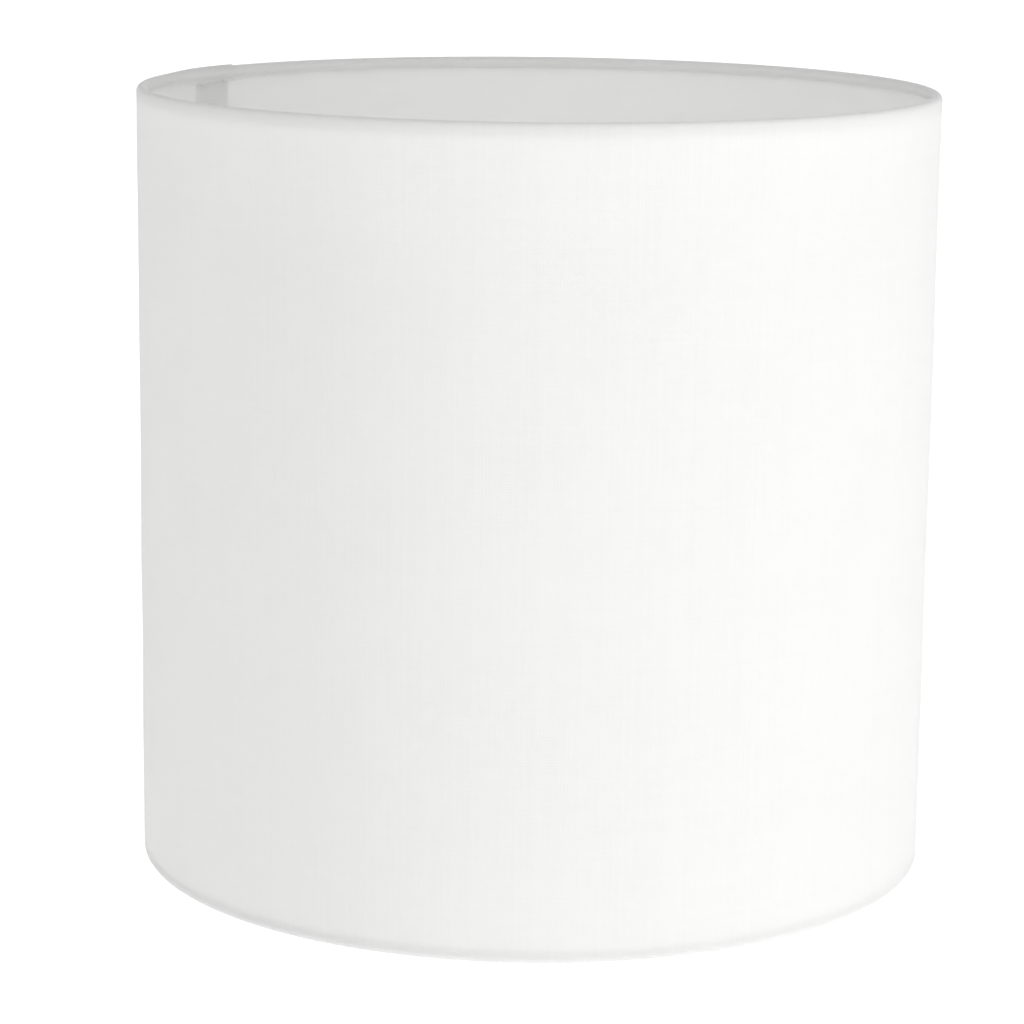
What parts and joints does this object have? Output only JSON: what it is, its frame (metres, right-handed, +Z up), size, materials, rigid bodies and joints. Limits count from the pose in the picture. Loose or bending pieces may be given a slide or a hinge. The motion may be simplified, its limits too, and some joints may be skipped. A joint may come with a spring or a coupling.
{
  "type": "lamp shade",
  "caption": "Straight drum lamp shade: fabric on a stiff lining, rolled round two wire rings, with a recessed spider fitting and a lift-out reducer.",
  "frame": {"origin": "centre of the shade at the level of its lowest hem, on which it stands", "axes": "+Z up along the shade's axis, +Y away from the viewer along the rear spoke, +X to the viewer's right"},
  "size_m": [0.3, 0.3, 0.293],
  "materials": {
    "cover_cotton": "fine plain weave, matt",
    "lining_sheet": "translucent stiff sheet, satin",
    "adhesive_tape": "thin double-sided film, hazy white",
    "coated_wire": "white epoxy coating over steel wire, satin",
    "coated_fitter": "white epoxy coating over stamped steel, satin",
    "reducer_plastic": "moulded, satin"
  },
  "bodies": {
    "shade": {"fabric_cover": "cover_cotton", "pvc_liner": "lining_sheet", "seam_tape": "adhesive_tape", "top_ring": "coated_wire", "top_ring_tape": "adhesive_tape", "bottom_ring": "coated_wire", "bottom_ring_tape": "adhesive_tape", "spoke_rear": "coated_wire", "spoke_left": "coated_wire", "spoke_right": "coated_wire", "fitter_ring": "coated_fitter"},
    "reducer": {"reducer_ring": "reducer_plastic"}
  },
  "joints": [
    {"name": "reducer_lift", "type": "slide", "parent": "shade", "child": "reducer", "axis": [0, 0, 1], "range_m": [0, 0.3]}
  ]
}
